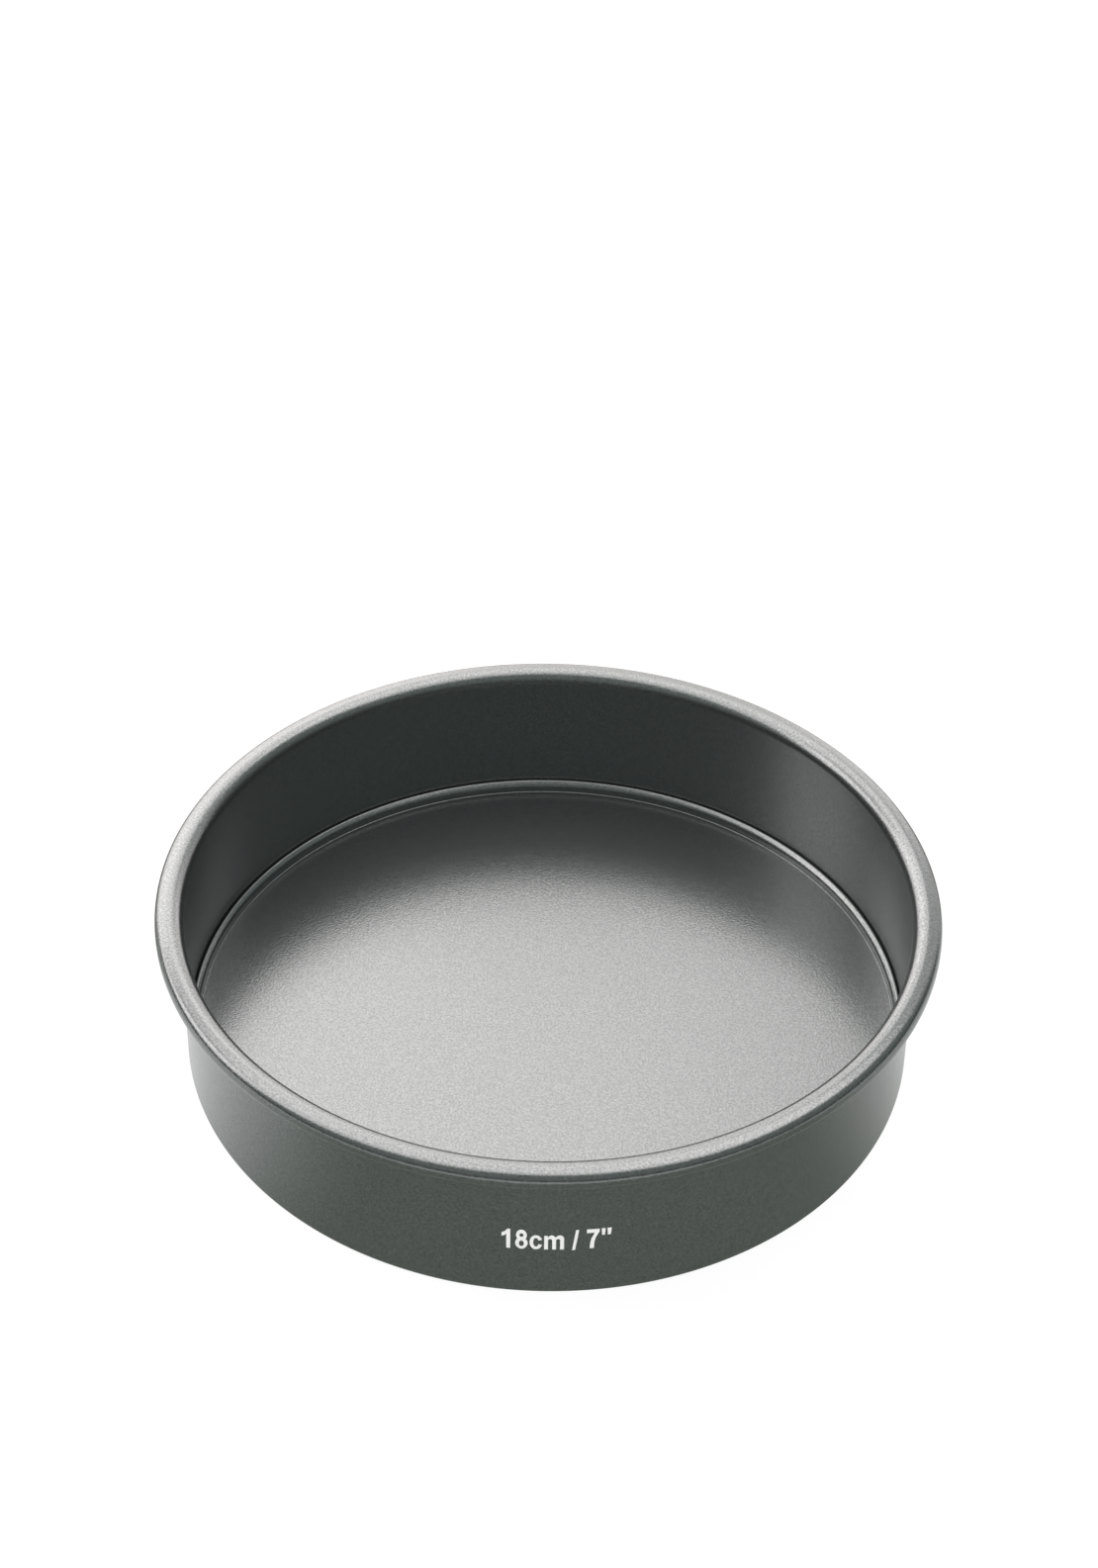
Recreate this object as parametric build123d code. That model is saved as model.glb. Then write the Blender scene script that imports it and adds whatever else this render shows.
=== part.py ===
from build123d import *
from math import atan2, cos, degrees, radians, sin
import os

# Round cake tin with a loose base, in millimetres.
# The origin is the centre of the underside and +Z is up.
# Both pieces are pressed and rolled sheet, drawn here as the section of the
# sheet in the XZ plane and turned once round the Z axis.

# Sheet and overall size
SHEET = 1.0            # thickness of the steel with its coating
TIN_HEIGHT = 43.0      # underside to the top of the rolled rim
MOUTH_RADIUS = 90.0    # inner face of the wall where it meets the rim
WALL_TAPER = 0.2       # how much narrower the wall is at its foot

# Rolled rim, measured on the outside of the roll
RIM_INNER_BEND = 3.5   # from the inner face of the wall up to the top
RIM_SLOPE = 12.0       # degrees that the land falls outward from the top
RIM_LAND = 1.05        # straight stretch between the inner and outer bends
RIM_OUTER_BEND = 2.2   # from the land over to the outermost face
RIM_SKIRT = 0.4        # straight drop between the upper and lower bends
CURL_ANGLE = 66.0      # degrees that the curl runs on past its lowest line

# Foot of the wall and the lip that carries the base: the lip's edge is folded
# back over it, so no cut edge shows and the base rests on two layers
LIP_WIDTH = 6.0        # inner face of the wall to the fold
LIP_RETURN = 4.5       # folded-back layer, from the fold to its cut edge
LIP_GAP = 1.4          # between the two layers
FOOT_BEND = 0.4        # inside the bend between wall and lip

# Loose base: a flat disc with its edge turned up and flared out at the top,
# where the cut edge is rounded over its whole width
BASE_CLEARANCE = 0.2   # gap between the flared edge and the wall's foot
BASE_BEND = 0.2        # inside the bend between disc and turned-up edge
BASE_EDGE_HEIGHT = 3.0  # top of the edge above the floor of the disc
BASE_FLARE = 50.0      # degrees that the flare leans out from upright
FLARE_BEND = 0.6       # inside the bend from upright to flare, on its outer side
FLARE_LENGTH = 0.6     # straight stretch from that bend to the rounded end

EDGE_ROUND = 0.25      # rounding of the tin body's cut edges under the coating
GAP_SHARE = 0.0001     # share of the sheet below which two points are one

# Sizes that follow from the ones above
FOOT_RADIUS = MOUTH_RADIUS - WALL_TAPER
LIP_RADIUS = FOOT_RADIUS - LIP_WIDTH
LIP_END = LIP_RADIUS + LIP_RETURN
LIP_TOP = SHEET + LIP_GAP + SHEET
BASE_RADIUS = FOOT_RADIUS - BASE_CLEARANCE
FLOOR_TOP = LIP_TOP + SHEET
BASE_TOP = FLOOR_TOP + BASE_EDGE_HEIGHT
FLARE_RUN = 90.0 - BASE_FLARE
FLARE_NORMAL = 180.0 - BASE_FLARE
LEAN = degrees(atan2(WALL_TAPER, TIN_HEIGHT - RIM_INNER_BEND - SHEET - FOOT_BEND))
WALL_NORMAL = 180.0 - LEAN


def on_circle(centre, radius, angle):
    """The point of a circle in the section at an angle in degrees from outward."""
    return (centre[0] + radius * cos(radians(angle)), centre[1] + radius * sin(radians(angle)))


def arc(centre, radius, start, end):
    """Three points of an arc: both ends and the point half way round."""
    return [on_circle(centre, radius, a) for a in (start, (start + end) / 2, end)]


def section(parts):
    """A closed face in the XZ plane from straight runs (2 points) and arcs (3)."""
    with BuildSketch(Plane.XZ) as sketch:
        with BuildLine():
            for points in parts:
                if len(points) == 2:
                    Line(*points)
                else:
                    ThreePointArc(*points)
        make_face()
    return sketch.sketch


def join(pieces):
    """Arcs in order, with a straight run wherever one doesn't meet the next."""
    chain = []
    for here, after in zip(pieces, pieces[1:] + pieces[:1]):
        if len(here) > 1:
            chain.append(here)
        gap = (Vector(*here[-1]) - Vector(*after[0])).length
        if gap > SHEET * GAP_SHARE:
            chain.append([here[-1], after[0]])
    return chain


# Centres of the bends, in the section (distance from the axis, height)
FOLD_CENTRE = (LIP_RADIUS + LIP_TOP / 2, LIP_TOP / 2)
FOOT_CENTRE = (
    FOOT_RADIUS - FOOT_BEND * cos(radians(LEAN)),
    SHEET + FOOT_BEND,
)
INNER_CENTRE = (
    MOUTH_RADIUS + RIM_INNER_BEND * cos(radians(LEAN)),
    TIN_HEIGHT - RIM_INNER_BEND,
)
LAND_NORMAL = 90.0 - RIM_SLOPE
LAND_START = on_circle(INNER_CENTRE, RIM_INNER_BEND - RIM_OUTER_BEND, LAND_NORMAL)
UPPER_CENTRE = on_circle(LAND_START, RIM_LAND, -RIM_SLOPE)
LOWER_CENTRE = (UPPER_CENTRE[0], UPPER_CENTRE[1] - RIM_SKIRT)
CURL_END = -90.0 - CURL_ANGLE
FLARE_END = (BASE_RADIUS - SHEET / 2, BASE_TOP - SHEET / 2)
FLARE_START = on_circle(FLARE_END, -FLARE_LENGTH, FLARE_RUN)
FLARE_CENTRE = on_circle(FLARE_START, -(FLARE_BEND + SHEET / 2), FLARE_NORMAL)
UPRIGHT_FACE = FLARE_CENTRE[0] - FLARE_BEND - SHEET
BASE_BEND_CENTRE = (UPRIGHT_FACE - BASE_BEND, FLOOR_TOP + BASE_BEND)


def tin_body():
    """Wall, rolled rim and folded lip: one drawn sheet of even thickness."""
    inner = RIM_INNER_BEND - SHEET
    outer = RIM_OUTER_BEND - SHEET
    outline = [
        arc(FOLD_CENTRE, LIP_GAP / 2, -270.0, -90.0),
        arc(FOOT_CENTRE, FOOT_BEND, -90.0, -LEAN),
        arc(INNER_CENTRE, RIM_INNER_BEND, WALL_NORMAL, LAND_NORMAL),
        arc(UPPER_CENTRE, RIM_OUTER_BEND, LAND_NORMAL, 0.0),
        arc(LOWER_CENTRE, RIM_OUTER_BEND, 0.0, CURL_END),
        arc(LOWER_CENTRE, outer, CURL_END, 0.0),
        arc(UPPER_CENTRE, outer, 0.0, LAND_NORMAL),
        arc(INNER_CENTRE, inner, LAND_NORMAL, WALL_NORMAL),
        arc(FOOT_CENTRE, FOOT_BEND + SHEET, -LEAN, -90.0),
        arc(FOLD_CENTRE, LIP_TOP / 2, -90.0, -270.0),
        [(LIP_END, LIP_TOP), (LIP_END, LIP_TOP - SHEET)],
    ]
    face = section(join(outline))
    curl = [on_circle(LOWER_CENTRE, radius, CURL_END) for radius in (RIM_OUTER_BEND, outer)]
    cut = corners(face, [(LIP_END, LIP_TOP), (LIP_END, LIP_TOP - SHEET)] + curl)
    return revolve(fillet(cut, EDGE_ROUND), Axis.Z)


def loose_base():
    """Flat disc that rests on the lip, with its edge turned up and flared inside the wall."""
    outline = [
        [(0, FLOOR_TOP), (0, LIP_TOP)],
        arc(BASE_BEND_CENTRE, BASE_BEND + SHEET, -90.0, 0.0),
        arc(FLARE_CENTRE, FLARE_BEND, 180.0, FLARE_NORMAL),
        arc(FLARE_END, SHEET / 2, FLARE_NORMAL - 180.0, FLARE_NORMAL),
        arc(FLARE_CENTRE, FLARE_BEND + SHEET, FLARE_NORMAL, 180.0),
        arc(BASE_BEND_CENTRE, BASE_BEND, 0.0, -90.0),
    ]
    return revolve(section(join(outline)), Axis.Z)


def corners(face, points):
    """The section's own corners that lie at the given points."""
    found = []
    for x, z in points:
        found.append(face.vertices().sort_by_distance(Vector(x, 0, z))[0])
    return found


os.makedirs("parts", exist_ok=True)
for name, solid in (("tin_body", tin_body()), ("loose_base", loose_base())):
    solid.label = name
    export_step(solid, "parts/" + name + ".step")
    print(name, round(solid.volume, 1), solid.is_valid, solid.bounding_box())
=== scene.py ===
import math

import bpy
import numpy as np
from mathutils import Matrix, Vector


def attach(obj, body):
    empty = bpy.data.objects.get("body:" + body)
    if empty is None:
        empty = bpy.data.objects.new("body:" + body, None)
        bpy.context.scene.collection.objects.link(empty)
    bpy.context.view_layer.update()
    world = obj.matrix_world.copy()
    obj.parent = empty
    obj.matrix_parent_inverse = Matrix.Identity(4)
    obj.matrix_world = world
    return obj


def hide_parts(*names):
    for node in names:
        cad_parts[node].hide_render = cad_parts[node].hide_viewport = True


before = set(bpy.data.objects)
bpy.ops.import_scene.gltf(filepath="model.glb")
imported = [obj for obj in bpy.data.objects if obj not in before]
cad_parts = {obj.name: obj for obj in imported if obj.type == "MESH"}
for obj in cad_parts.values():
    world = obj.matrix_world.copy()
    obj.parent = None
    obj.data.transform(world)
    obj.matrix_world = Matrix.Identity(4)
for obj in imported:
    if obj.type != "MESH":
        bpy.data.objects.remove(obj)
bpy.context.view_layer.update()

# Sizes of the tin in metres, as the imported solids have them.
MM = 0.001
SHEET = 1.0 * MM
HEIGHT = 43.0 * MM
MOUTH_RADIUS = 90.0 * MM
WALL_TAPER = 0.2 * MM
RIM_INNER_BEND = 3.5 * MM
RIM_SLOPE = 12.0         # degrees
RIM_LAND = 1.05 * MM
RIM_OUTER_BEND = 2.2 * MM
RIM_SKIRT = 0.4 * MM
CURL_ANGLE = 66.0        # degrees
LIP_WIDTH = 6.0 * MM
LIP_RETURN = 4.5 * MM
LIP_GAP = 1.4 * MM
FOOT_BEND = 0.4 * MM
BASE_CLEARANCE = 0.2 * MM
BASE_BEND = 0.2 * MM
BASE_EDGE_HEIGHT = 3.0 * MM
BASE_FLARE = 50.0        # degrees from upright
FLARE_BEND = 0.6 * MM
FLARE_LENGTH = 0.6 * MM
EDGE_ROUND = 0.25 * MM

FOOT_RADIUS = MOUTH_RADIUS - WALL_TAPER
LIP_RADIUS = FOOT_RADIUS - LIP_WIDTH
LIP_TOP = SHEET + LIP_GAP + SHEET
BASE_RADIUS = FOOT_RADIUS - BASE_CLEARANCE
FLOOR_TOP = LIP_TOP + SHEET
LEAN = math.degrees(math.atan2(WALL_TAPER, HEIGHT - RIM_INNER_BEND - SHEET - FOOT_BEND))

ROUND_STEPS = 480        # quads round the axis
BEND_STEP = 6.0          # degrees of bend per quad
RUN_STEP = 2.5 * MM      # length of a quad on a straight run
SHORT_QUAD = 0.15 * MM   # length of the quad at either end of a straight run
SHORT_SHARE = 0.2        # of the run, where that is shorter
ROUND_POINTS = 6         # on a rounded corner
CURL_TRIM = 6.0          # degrees that the curl's outside stops short of its rounded corner
CURL_TRIM_INSIDE = 10.0  # and its inside
SAME_POINT = 1e-7        # metres below which two points are one
SAME_SHARE = 1e-6        # and share of a run


# The section of the sheet

def bend(centre, radius, start, end):
    """Points of an arc: centre + radius (cos a, sin a), a running evenly from start to end in degrees."""
    count = max(3, int(abs(end - start) / BEND_STEP) + 1)
    a = np.radians(np.linspace(start, end, count))
    return np.column_stack([centre[0] + radius * np.cos(a), centre[1] + radius * np.sin(a)])


def rounded(before, corner, after, radius):
    """A square corner as a quarter circle, which touches both edges at radius from the corner."""
    corner = np.asarray(corner, float)
    u = np.asarray(before, float) - corner
    v = np.asarray(after, float) - corner
    u = u / np.linalg.norm(u) * radius
    v = v / np.linalg.norm(v) * radius
    centre = corner + u + v
    a = np.radians(np.linspace(0, 90, ROUND_POINTS))[:, None]
    return centre - v * np.cos(a) - u * np.sin(a)


def closed_run(pieces):
    """Joins arcs end to end into one loop, with every straight run between them cut into even lengths."""
    loop = []
    for here, after in zip(pieces, pieces[1:] + pieces[:1]):
        loop.append(here)
        a, b = here[-1], after[0]
        length = np.linalg.norm(b - a)
        if length > EDGE_ROUND:
            # a short quad at each end keeps the shading of a bend off the flat
            ends = min(SHORT_QUAD / length, SHORT_SHARE)
            count = max(2, int(length / RUN_STEP) + 1)
            t = np.concatenate([[ends], np.linspace(0, 1, count + 1)[1:-1], [1 - ends]])
            t = t[np.concatenate([[True], np.diff(t) > SAME_SHARE])]
            loop.append(a + (b - a) * t[:, None])
    points = np.vstack(loop)
    keep = np.linalg.norm(points - np.roll(points, 1, axis=0), axis=1) > SAME_POINT
    return points[keep]


def polar(centre, radius, angle):
    a = math.radians(angle)
    return np.array([centre[0] + radius * math.cos(a), centre[1] + radius * math.sin(a)])


def wall_section():
    """Section of the wall, rolled rim and folded lip: a closed loop of (distance from the axis, height)."""
    foot = (FOOT_RADIUS - FOOT_BEND * math.cos(math.radians(LEAN)), SHEET + FOOT_BEND)
    inner = (MOUTH_RADIUS + RIM_INNER_BEND * math.cos(math.radians(LEAN)), HEIGHT - RIM_INNER_BEND)
    upper = polar(inner, RIM_INNER_BEND - RIM_OUTER_BEND, 90.0 - RIM_SLOPE)
    upper = polar(upper, RIM_LAND, -RIM_SLOPE)
    lower = (upper[0], upper[1] - RIM_SKIRT)
    fold = (LIP_RADIUS + LIP_TOP / 2, LIP_TOP / 2)
    end = -90.0 - CURL_ANGLE
    under = RIM_OUTER_BEND - SHEET
    lip_end = LIP_RADIUS + LIP_RETURN
    out, inn = polar(lower, RIM_OUTER_BEND, end), polar(lower, under, end)
    tangent = np.array([math.sin(math.radians(end)), -math.cos(math.radians(end))]) * SHEET
    return closed_run([
        bend(fold, LIP_GAP / 2, -270.0, -90.0),
        bend(foot, FOOT_BEND, -90.0, -LEAN),
        bend(inner, RIM_INNER_BEND, 180.0 - LEAN, 90.0 - RIM_SLOPE),
        bend(upper, RIM_OUTER_BEND, 90.0 - RIM_SLOPE, 0.0),
        bend(lower, RIM_OUTER_BEND, 0.0, end + CURL_TRIM),
        rounded(out - tangent, out, inn, EDGE_ROUND),
        rounded(out, inn, inn - tangent, EDGE_ROUND),
        bend(lower, under, end + CURL_TRIM_INSIDE, 0.0),
        bend(upper, under, 0.0, 90.0 - RIM_SLOPE),
        bend(inner, RIM_INNER_BEND - SHEET, 90.0 - RIM_SLOPE, 180.0 - LEAN),
        bend(foot, FOOT_BEND + SHEET, -LEAN, -90.0),
        bend(fold, LIP_TOP / 2, -90.0, -270.0),
        rounded((LIP_RADIUS, LIP_TOP), (lip_end, LIP_TOP), (lip_end, LIP_GAP), EDGE_ROUND),
        rounded((lip_end, LIP_TOP), (lip_end, LIP_TOP - SHEET), (LIP_RADIUS, LIP_TOP - SHEET), EDGE_ROUND),
    ])


def base_section():
    """Section of the loose base: from the axis along its underside, round its edge, back over the floor."""
    end = (BASE_RADIUS - SHEET / 2, FLOOR_TOP + BASE_EDGE_HEIGHT - SHEET / 2)
    normal = 180.0 - BASE_FLARE
    flare = polar(polar(end, -FLARE_LENGTH, 90.0 - BASE_FLARE), -(FLARE_BEND + SHEET / 2), normal)
    corner = (flare[0] - FLARE_BEND - SHEET - BASE_BEND, FLOOR_TOP + BASE_BEND)
    return closed_run([
        np.array([[0.0, LIP_TOP]]),
        bend(corner, BASE_BEND + SHEET, -90.0, 0.0),
        bend(flare, FLARE_BEND, 180.0, normal),
        bend(end, SHEET / 2, normal - 180.0, normal),
        bend(flare, FLARE_BEND + SHEET, normal, 180.0),
        bend(corner, BASE_BEND, 0.0, -90.0),
        np.array([[0.0, FLOOR_TOP]]),
    ])


# Surfaces

def turned(name, section):
    """A section turned round +Z: x = r cos f, y = r sin f, z = z. The angle f runs in even steps, and there
    is one vertex at each pole."""
    f = np.arange(ROUND_STEPS) * (2 * math.pi / ROUND_STEPS)
    poles = np.where(section[:, 0] < SAME_POINT)[0]
    if len(poles):
        # the loop is cut open at the axis: it starts and ends on it
        first = [i for i in poles if (i + 1) % len(section) not in poles][0]
        section = np.roll(section, -first, axis=0)
        section = section[: [i for i in range(1, len(section)) if section[i, 0] < SAME_POINT][0] + 1]
        rows = section[1:-1]
    else:
        rows = section
    r, g = np.meshgrid(rows[:, 0], f, indexing="ij")
    z = np.repeat(rows[:, 1:2], ROUND_STEPS, axis=1)
    vertices = np.stack([r * np.cos(g), r * np.sin(g), z], -1).reshape(-1, 3)
    count = len(rows)
    row = np.arange(count if not len(poles) else count - 1)
    i, j = np.meshgrid(row, np.arange(ROUND_STEPS), indexing="ij")
    k, m = (i + 1) % count, (j + 1) % ROUND_STEPS
    quads = np.stack([i, i, k, k], -1) * ROUND_STEPS + np.stack([j, m, m, j], -1)
    faces = quads.reshape(-1, 4).tolist()
    if len(poles):
        start, end = len(vertices), len(vertices) + 1
        vertices = np.vstack([vertices, [[0, 0, section[0, 1]], [0, 0, section[-1, 1]]]])
        a = np.arange(ROUND_STEPS)
        b = (a + 1) % ROUND_STEPS
        last = (count - 1) * ROUND_STEPS
        faces += np.column_stack([np.full_like(a, start), b, a]).tolist()
        faces += np.column_stack([np.full_like(a, end), last + a, last + b]).tolist()
    mesh = bpy.data.meshes.new(name)
    mesh.from_pydata(vertices.tolist(), [], faces)
    mesh.shade_smooth()
    piece = bpy.data.objects.new(name, mesh)
    bpy.context.scene.collection.objects.link(piece)
    return piece


def face_outwards(piece):
    """Turns every face if the volume that the mesh encloses, the sum of a . (b x c) / 6 over its triangles,
    is negative."""
    mesh = piece.data
    mesh.calc_loop_triangles()
    tri = np.empty(len(mesh.loop_triangles) * 3, np.int32)
    mesh.loop_triangles.foreach_get("vertices", tri)
    co = np.empty(len(mesh.vertices) * 3)
    mesh.vertices.foreach_get("co", co)
    a, b, c = co.reshape(-1, 3)[tri.reshape(-1, 3)].transpose(1, 0, 2)
    if np.einsum("ij,ij->i", a, np.cross(b, c)).sum() < 0:
        mesh.flip_normals()


# Materials

PEEL_CELL = 0.5 * MM     # across a cell of the coating's orange peel
PEEL_DEPTH = 0.034 * MM
FLAKE_CELL = 0.5 * MM    # across a speck of its metal flake
FLAKE_DARK = "#6f7372"
FLAKE_LIGHT = "#858988"
INK_WHITE = "#f4f4f2"
INK_CELL = 0.4 * MM
INK_DEPTH = 0.01 * MM


def linear(code):
    """An sRGB hex colour as linear red, green, blue and alpha."""
    c = np.array([int(code[i:i + 2], 16) for i in (1, 3, 5)]) / 255
    c = np.where(c <= 0.04045, c / 12.92, ((c + 0.055) / 1.055) ** 2.4)
    return (*[float(v) for v in c], 1.0)


def node(tree, kind, links=(), **settings):
    """Adds a node. A setting is a property, or a socket by its name with spaces as _. A link is (input,
    output socket)."""
    n = tree.nodes.new(kind)
    for key, value in settings.items():
        if hasattr(n, key):
            setattr(n, key, value)
        else:
            n.inputs[key.replace("_", " ")].default_value = value
    for key, source in links:
        tree.links.new(source, n.inputs[key])
    return n


def material(name):
    m = bpy.data.materials.new(name)
    m.use_nodes = True
    m.node_tree.nodes.clear()
    return m, m.node_tree


def fine_noise(tree, cell, detail):
    """Noise in the piece's own place, with cells of the given size."""
    place = node(tree, "ShaderNodeTexCoord").outputs["Object"]
    return node(tree, "ShaderNodeTexNoise", [("Vector", place)], Scale=1 / cell, Detail=detail).outputs["Fac"]


def coated_steel():
    """Drawn steel with a sprayed non-stick coating: dark grey with fine metal flake, half gloss, and the
    slight orange peel that a sprayed and baked film has."""
    m, tree = material("nonstick_coated_steel")
    peel = fine_noise(tree, PEEL_CELL, 1.0)
    tone = node(tree, "ShaderNodeValToRGB", [("Fac", fine_noise(tree, FLAKE_CELL, 1.0))])
    dark, light = tone.color_ramp.elements
    dark.position, dark.color = 0.30, linear(FLAKE_DARK)
    light.position, light.color = 0.70, linear(FLAKE_LIGHT)
    bump = node(tree, "ShaderNodeBump", [("Height", peel)], Strength=1.0, Distance=PEEL_DEPTH)
    shader = node(tree, "ShaderNodeBsdfPrincipled",
                  [("Base Color", tone.outputs["Color"]), ("Normal", bump.outputs["Normal"])],
                  Metallic=0.9, Roughness=0.24)
    node(tree, "ShaderNodeOutputMaterial", [("Surface", shader.outputs["BSDF"])])
    return m


def printed_white():
    """Pad-printed white ink, flat and slightly glossy."""
    m, tree = material("white_pad_print")
    grain = fine_noise(tree, INK_CELL, 2.0)
    bump = node(tree, "ShaderNodeBump", [("Height", grain)], Strength=0.15, Distance=INK_DEPTH)
    shader = node(tree, "ShaderNodeBsdfPrincipled", [("Normal", bump.outputs["Normal"])],
                  Base_Color=linear(INK_WHITE), Roughness=0.55)
    node(tree, "ShaderNodeOutputMaterial", [("Surface", shader.outputs["BSDF"])])
    return m


STEEL = coated_steel()
INK = printed_white()

# The two pressed pieces

body = turned("tin_body_sheet", wall_section())
base = turned("loose_base_sheet", base_section())
for piece, carried_by, solid in ((body, "tin", "tin_body"), (base, "base", "loose_base")):
    face_outwards(piece)
    piece.data.materials.append(STEEL)
    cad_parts[solid].data.materials.clear()
    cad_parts[solid].data.materials.append(STEEL)
    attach(piece, carried_by)
    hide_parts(solid)


# The printed size on the front of the wall

MARK_BASELINE = 14.4 * MM
MARK_FILM = 0.04 * MM
ARC_STEP = 12.0          # degrees per point of a letter's arcs

# The 8 in millimetres, as ovals: middle (x, y), half the width and half the height
LOWER_BOWL = (1.40, 1.81, 1.40, 1.81)
UPPER_BOWL = (1.40, 4.28, 1.22, 1.72)
LOWER_HOLE = (1.40, 1.69, 0.565, 0.90)
UPPER_HOLE = (1.40, 4.28, 0.475, 0.58)
WAIST = (2.6, 3.6)       # heights between which the two bowls cross
WAIST_STEPS = 2001


def oval(cx, cy, rx, ry, start=0.0, end=360.0):
    """Points (cx + rx cos a, cy + ry sin a), a running evenly from start to end in degrees."""
    count = max(3, int(abs(end - start) / ARC_STEP) + 1)
    a = np.radians(np.linspace(start, end, count))
    points = np.column_stack([cx + rx * np.cos(a), cy + ry * np.sin(a)])
    return (points[:-1] if abs(end - start) == 360.0 else points).tolist()


def half_width(bowl, y):
    """Half the width of an oval at height y: rx sqrt(1 - ((y - cy) / ry)^2)."""
    return bowl[2] * np.sqrt(1 - ((y - bowl[1]) / bowl[3]) ** 2)


def eight():
    """Outline of the two bowls of the 8, which cross where both are as wide, and its two holes."""
    y = np.linspace(*WAIST, WAIST_STEPS)
    cross = float(y[np.argmin(np.abs(half_width(LOWER_BOWL, y) - half_width(UPPER_BOWL, y)))])
    low, high = [math.degrees(math.asin((cross - bowl[1]) / bowl[3])) for bowl in (LOWER_BOWL, UPPER_BOWL)]
    return [oval(*LOWER_BOWL, 180.0 - low, 360.0 + low) + oval(*UPPER_BOWL, high, 180.0 - high),
            oval(*UPPER_HOLE), oval(*LOWER_HOLE)]


def letter_m():
    """Two arches of the m on three stems."""
    outer = oval(1.72, 3.44, 0.84, 1.0, 150.0, 10.0) + oval(3.52, 3.34, 0.96, 1.10, 150.0, 0.0)
    return [[[0, 0], [0, 4.30], [0.80, 4.30], [0.84, 3.75]] + outer + [[4.48, 0], [3.60, 0]]
            + oval(3.145, 2.85, 0.455, 0.49, 0.0, 180.0) + [[2.69, 0], [1.81, 0]]
            + oval(1.335, 2.85, 0.475, 0.49, 0.0, 180.0) + [[0.86, 0]]]


# Each letter: distance of its left edge along the wall from the front, and its loops, all in millimetres
LETTERS = [
    (-9.34, [[[1.06, 0], [1.95, 0], [1.95, 6.0], [1.27, 6.0], [0.75, 5.2], [0, 4.70], [0, 3.60],
              [0.6, 3.95], [1.06, 4.40]]]),
    (-6.25, eight()),
    (-3.03, [oval(1.47, 2.22, 1.47, 2.22, 22.0, 338.0) + oval(1.47, 2.22, 0.63, 1.36, 335.0, 25.0)]),
    (0.29, letter_m()),
    (6.62, [[[0, -0.28], [0.68, -0.28], [1.50, 6.0], [0.82, 6.0]]]),
    (9.89, [[[0, 6.0], [2.87, 6.0], [2.87, 5.15], [2.02, 3.34], [1.74, 1.78], [1.67, 0], [0.72, 0],
             [0.80, 1.6], [1.05, 3.03], [1.80, 4.80], [1.84, 4.85], [0, 4.85]]]),
    (13.25, [[[0, 6.0], [0.86, 6.0], [0.76, 3.95], [0.12, 3.95]],
             [[1.31, 6.0], [2.25, 6.0], [2.12, 3.95], [1.42, 3.95]]]),
]


def size_mark(carried_by):
    """Flat letters wrapped round the wall: x becomes the angle x / R and y the height, and the film stands
    out along R."""
    curve = bpy.data.curves.new("size_mark", "CURVE")
    curve.dimensions = "2D"
    curve.fill_mode = "BOTH"
    curve.extrude = 1.0
    for left, loops in LETTERS:
        for loop in loops:
            spline = curve.splines.new("POLY")
            spline.points.add(len(loop) - 1)
            spline.points.foreach_set("co", [v for x, y in loop for v in (left + x, y, 0.0, 1.0)])
            spline.use_cyclic_u = True
    flat = bpy.data.objects.new("size_mark_flat", curve)
    bpy.context.scene.collection.objects.link(flat)
    bpy.context.view_layer.update()
    depsgraph = bpy.context.evaluated_depsgraph_get()
    mesh = bpy.data.meshes.new_from_object(flat.evaluated_get(depsgraph))
    bpy.data.objects.remove(flat)
    mesh.name = "size_mark"
    co = np.empty(len(mesh.vertices) * 3)
    mesh.vertices.foreach_get("co", co)
    x, y, side = co.reshape(-1, 3).T
    z = y * MM + MARK_BASELINE
    proud = np.where(side > 0, MARK_FILM, -MARK_FILM)
    lean = WALL_TAPER / (HEIGHT - RIM_INNER_BEND)
    r = FOOT_RADIUS + SHEET + lean * z + proud
    f = x * MM / (FOOT_RADIUS + SHEET) - math.pi / 2
    mesh.vertices.foreach_set("co", np.column_stack([r * np.cos(f), r * np.sin(f), z]).ravel())
    mesh.update()
    piece = bpy.data.objects.new("size_mark", mesh)
    bpy.context.scene.collection.objects.link(piece)
    mesh.materials.clear()
    mesh.materials.append(INK)
    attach(piece, carried_by)
    return piece


face_outwards(size_mark("tin"))

# Stage: a white table, lamps as panels, and a grey card of painted shade that only reflections see. Metres
# and degrees.
# A level is the brightness of a thing's own face, where white is 1.

WHITE = (1.0, 1.0, 1.0, 1.0)

TABLE_SIDE = 6.0
TABLE_DROP = 0.02 * MM   # below the tin's underside
TABLE_LEVEL = 0.93       # the table's own white, as it is seen
TABLE_SHADED = "#616161"  # how much of the light it takes besides, which shows the shadow
TABLE_PLAIN = "#e7e7e7"  # the table as it lights the tin

ROOM_LOW = 0.08          # level of the surroundings near the horizon
ROOM_HIGH = 0.36         # and overhead
ROOM_FADE = (0.1, 0.5)   # upward part of the direction, from one to the other
ROOM_TINT = (0.90, 1.0, 0.98, 1.0)
PANEL_TINT = (1.0, 0.915, 0.925)

# Panels behind the tin: their cells as the round rim mirrors them. Columns from left to right, rows from low
# to high.
BEHIND = 0.65
BEHIND_X = (-0.90, -0.31, -0.07, 0.06, 0.20, 0.40, 0.90)
BEHIND_Z = (0.02, 0.24, 0.38, 0.52, 0.68, 0.95)
BEHIND_LEVELS = (
    (2.5, 2.6, 2.0, 1.8, 2.4, 1.1),
    (3.2, 3.4, 2.2, 1.8, 2.2, 1.1),
    (3.9, 3.7, 1.8, 2.1, 1.2, 0.8),
    (4.0, 2.9, 2.8, 2.4, 0.6, 0.6),
    (1.2, 2.9, 2.8, 2.5, 0.6, 0.6),
)
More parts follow.
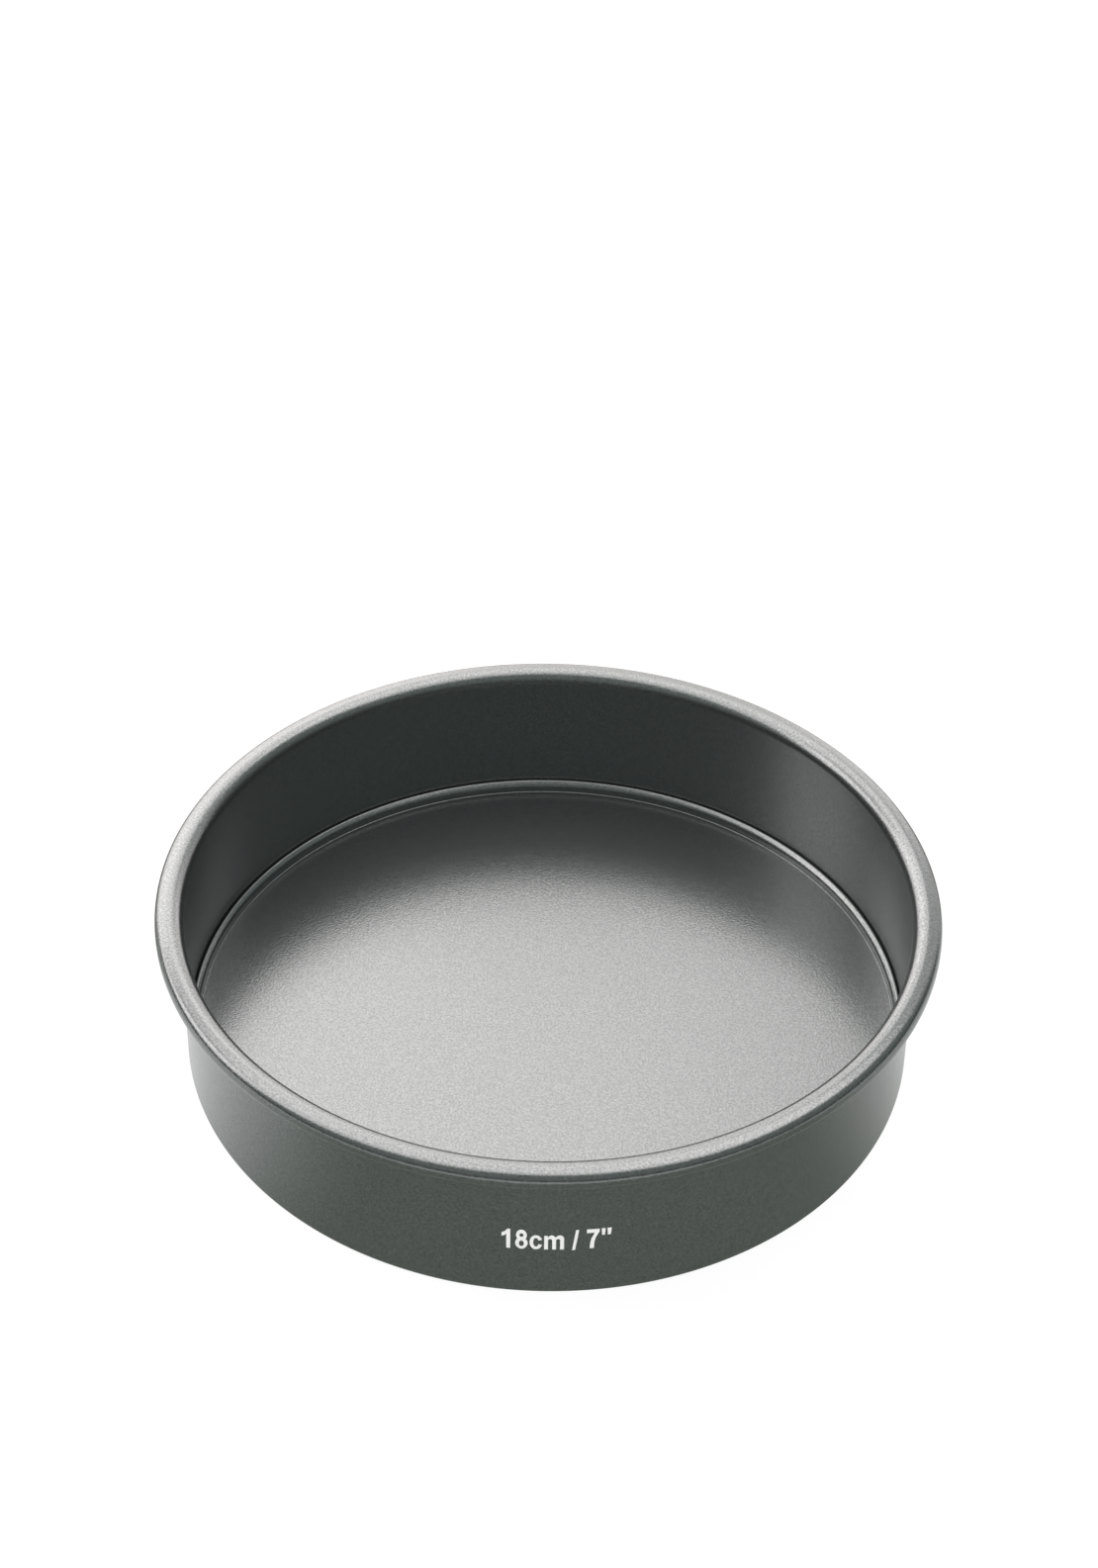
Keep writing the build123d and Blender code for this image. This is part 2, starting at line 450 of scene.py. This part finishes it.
# Above it: columns from left to right, rows from front to back.
ABOVE = 1.0
ABOVE_X = (-1.0, -0.6, 0.0, 0.6)
ABOVE_Y = (-0.30, 0.0, 0.38, 0.65)
ABOVE_LEVELS = (
    (2.0, 1.6, 1.7),
    (2.4, 2.3, 2.6),
    (0.4, 3.1, 3.2),
)
# On its left: one cell.
BESIDE = -1.0
BESIDE_Y = (-0.10, 0.65)
BESIDE_Z = (0.35, 1.0)
BESIDE_LEVELS = ((3.3,),)
# In front, for the printed mark: mirror rays don't see it.
FRONT_AT = (0.0, -1.5, 0.7)
FRONT_UP = (0.0, 0.42, 0.91)
FRONT_SIZE = (1.2, 0.8)
FRONT_LEVEL = 4.0

# The card is painted shade: a dim sheet that only mirror rays see, which darkens the table round the tin
# where the tin mirrors it.
CARD_X = (-0.3, 0.3)
CARD_Y = (-0.2, 0.5)
CARD_LIFT = 0.1 * MM     # above the table
CARD_LEVEL = 0.34
CARD_TINT = (0.94, 1.0, 0.91, 1.0)
CARD_TURN = 8.0          # to the right of the front
CARD_FRONT_FADE = (91, 142)  # angles from the back, seen from above, from clear to full
CARD_BACK_FADE = (83, 62)


def plane(name, xs, ys, z):
    """A level rectangle of the stage."""
    corners = [(xs[0], ys[0], z), (xs[1], ys[0], z), (xs[1], ys[1], z), (xs[0], ys[1], z)]
    mesh = bpy.data.meshes.new(name)
    mesh.from_pydata(corners, [], [tuple(range(len(corners)))])
    piece = bpy.data.objects.new(name, mesh)
    bpy.context.scene.collection.objects.link(piece)
    return piece


def maths(tree, operation, first, second=None):
    """One step of arithmetic between sockets."""
    links = [(0, first)] if second is None else [(0, first), (1, second)]
    return node(tree, "ShaderNodeMath", links, operation=operation).outputs[0]


def smooth_step(tree, value, start, end, low, high):
    """Runs from low to high while value goes from start to end."""
    return node(tree, "ShaderNodeMapRange", [("Value", value)], interpolation_type="SMOOTHSTEP",
                From_Min=start, From_Max=end, To_Min=low, To_Max=high).outputs["Result"]


def mixed(tree, share, first, second):
    return node(tree, "ShaderNodeMixShader", [("Fac", share), (1, first), (2, second)]).outputs[0]


def white_table():
    """Camera, mirror and glass rays see the table's own white over a little diffuse that takes the shadow."""
    m, tree = material("white_table")
    path = node(tree, "ShaderNodeLightPath").outputs
    seen = maths(tree, "MAXIMUM", path["Is Camera Ray"], path["Is Glossy Ray"])
    seen = maths(tree, "MAXIMUM", seen, path["Is Transmission Ray"])
    own = node(tree, "ShaderNodeEmission", Color=WHITE, Strength=TABLE_LEVEL)
    lit = node(tree, "ShaderNodeBsdfDiffuse", Color=linear(TABLE_SHADED))
    both = node(tree, "ShaderNodeAddShader", [(0, own.outputs[0]), (1, lit.outputs[0])])
    plain = node(tree, "ShaderNodeBsdfDiffuse", Color=linear(TABLE_PLAIN))
    look = mixed(tree, seen, plain.outputs[0], both.outputs[0])
    node(tree, "ShaderNodeOutputMaterial", [("Surface", look)])
    table = plane("floor", (-TABLE_SIDE / 2, TABLE_SIDE / 2), (-TABLE_SIDE / 2, TABLE_SIDE / 2), -TABLE_DROP)
    table.data.materials.append(m)


def dim_world():
    """Dim surroundings, so that what the lamps miss still has a tone. The camera itself sees them white."""
    world = bpy.data.worlds.new("dim_room")
    bpy.context.scene.world = world
    world.use_nodes = True
    tree = world.node_tree
    tree.nodes.clear()
    place = node(tree, "ShaderNodeTexCoord").outputs["Generated"]
    part = node(tree, "ShaderNodeSeparateXYZ", [("Vector", place)])
    level = smooth_step(tree, part.outputs["Z"], *ROOM_FADE, ROOM_LOW, ROOM_HIGH)
    dim = node(tree, "ShaderNodeBackground", [("Strength", level)], Color=ROOM_TINT)
    white = node(tree, "ShaderNodeBackground", Color=WHITE, Strength=1.0)
    camera_ray = node(tree, "ShaderNodeLightPath").outputs["Is Camera Ray"]
    look = mixed(tree, camera_ray, dim.outputs[0], white.outputs[0])
    node(tree, "ShaderNodeOutputWorld", [("Surface", look)])


def soft_panel(name, middle, right, up, width, height, level):
    """Rectangular lamp: its face's own brightness is level, so its power is level x pi x area."""
    data = bpy.data.lights.new(name, "AREA")
    data.shape = "RECTANGLE"
    data.size, data.size_y = width, height
    data.color = PANEL_TINT
    data.energy = level * math.pi * width * height
    lamp = bpy.data.objects.new(name, data)
    bpy.context.scene.collection.objects.link(lamp)
    right, up = Vector(right).normalized(), Vector(up).normalized()
    facing = Matrix((right, up, right.cross(up))).transposed()
    lamp.matrix_world = Matrix.Translation(middle) @ facing.to_4x4()
    lamp.visible_camera = False
    return lamp


def panel_grid(name, columns, rows, levels, place, right, up):
    """One lamp per cell of a table of levels, with its middle at place(column, row)."""
    for low, high, row in zip(rows, rows[1:], levels):
        for left, end, level in zip(columns, columns[1:], row):
            width, height = end - left, high - low
            soft_panel(name, place(left + width / 2, low + height / 2), right, up, width, height, level)


def painted_shade_card():
    """Painted shade: a grey card on the table before and behind the tin, seen only by mirror rays, which
    darkens the table where the tin mirrors it and fades out at the sides.
    """
    m, tree = material("painted_shade_card")
    place = node(tree, "ShaderNodeTexCoord").outputs["Object"]
    swing = (0.0, 0.0, -math.radians(CARD_TURN))
    swung = node(tree, "ShaderNodeMapping", [("Vector", place)], Rotation=swing)
    part = node(tree, "ShaderNodeSeparateXYZ", [("Vector", swung.outputs["Vector"])]).outputs
    turn = maths(tree, "ABSOLUTE", maths(tree, "ARCTAN2", part["X"], part["Y"]))
    front, back = [smooth_step(tree, turn, math.radians(clear), math.radians(full), 0.0, 1.0)
                   for clear, full in (CARD_FRONT_FADE, CARD_BACK_FADE)]
    own = node(tree, "ShaderNodeEmission", Color=CARD_TINT, Strength=CARD_LEVEL)
    clear = node(tree, "ShaderNodeBsdfTransparent")
    look = mixed(tree, maths(tree, "MAXIMUM", front, back), clear.outputs[0], own.outputs[0])
    node(tree, "ShaderNodeOutputMaterial", [("Surface", look)])
    card = plane("card", CARD_X, CARD_Y, CARD_LIFT)
    card.data.materials.append(m)
    card.visible_camera = False
    card.visible_diffuse = False
    card.visible_transmission = False
    card.visible_shadow = False
    card.visible_volume_scatter = False


white_table()
dim_world()
panel_grid("panel_behind", BEHIND_X, BEHIND_Z, BEHIND_LEVELS,
           lambda u, v: (u, BEHIND, v), (-1, 0, 0), (0, 0, 1))
panel_grid("panel_above", ABOVE_X, ABOVE_Y, ABOVE_LEVELS,
           lambda u, v: (u, v, ABOVE), (1, 0, 0), (0, 1, 0))
panel_grid("panel_left", BESIDE_Y, BESIDE_Z, BESIDE_LEVELS,
           lambda u, v: (BESIDE, u, v), (0, -1, 0), (0, 0, 1))
mark_lamp = soft_panel("panel_front", FRONT_AT, (1, 0, 0), FRONT_UP, *FRONT_SIZE, FRONT_LEVEL)
mark_lamp.visible_glossy = False
mark_lamp.data.color = WHITE[:3]
# painted shade in the tin's reflections of the table
painted_shade_card()
bpy.context.scene.view_settings.view_transform = "Standard"

# Camera: fitted to the photograph's outlines of the rim and the foot. Pixels are the photograph's own.

PHOTO = (1110, 1585)
FOCAL = 2967.6           # pixels
DISTANCE = 0.76337       # metres from the middle of the underside
ELEVATION = 42.567       # degrees
ROLL = 0.958             # degrees
ORIGIN_AT = (552.29, 1030.80)  # pixel of the middle of the underside
AXIS_AT = (523.74, 436.66)  # pixel of the lens axis
SENSOR = 36.0            # millimetres along the frame's longer side


def camera():
    """Looks from DISTANCE at ELEVATION, then turns so that the tin's origin falls on its own pixel."""
    e, roll = math.radians(ELEVATION), math.radians(ROLL)
    x, y = [(at - axis) / FOCAL for at, axis in zip(ORIGIN_AT, AXIS_AT)]
    ray = Vector((x, y, 1.0)).normalized()
    place = DISTANCE * Vector((0, -math.cos(e), math.sin(e)))
    ahead = -place.normalized()
    right = ahead.cross(Vector((0, 0, 1))).normalized()
    down = ahead.cross(right)
    world = Matrix((right, down, ahead))
    turn = Vector((0, 0, 1)).rotation_difference(ray).to_matrix()
    spin = Matrix.Rotation(roll, 3, "Z")
    rows = turn @ spin @ world
    data = bpy.data.cameras.new("photo_camera")
    data.sensor_width = SENSOR
    data.lens = FOCAL * data.sensor_width / PHOTO[1]
    data.shift_x = (PHOTO[0] / 2 - AXIS_AT[0]) / PHOTO[1]
    data.shift_y = (AXIS_AT[1] - PHOTO[1] / 2) / PHOTO[1]
    eye = bpy.data.objects.new("photo_camera", data)
    bpy.context.scene.collection.objects.link(eye)
    basis = Matrix((rows[0], -rows[1], -rows[2])).transposed()
    eye.matrix_world = Matrix.Translation(place) @ basis.to_4x4()
    bpy.context.scene.camera = eye


camera()
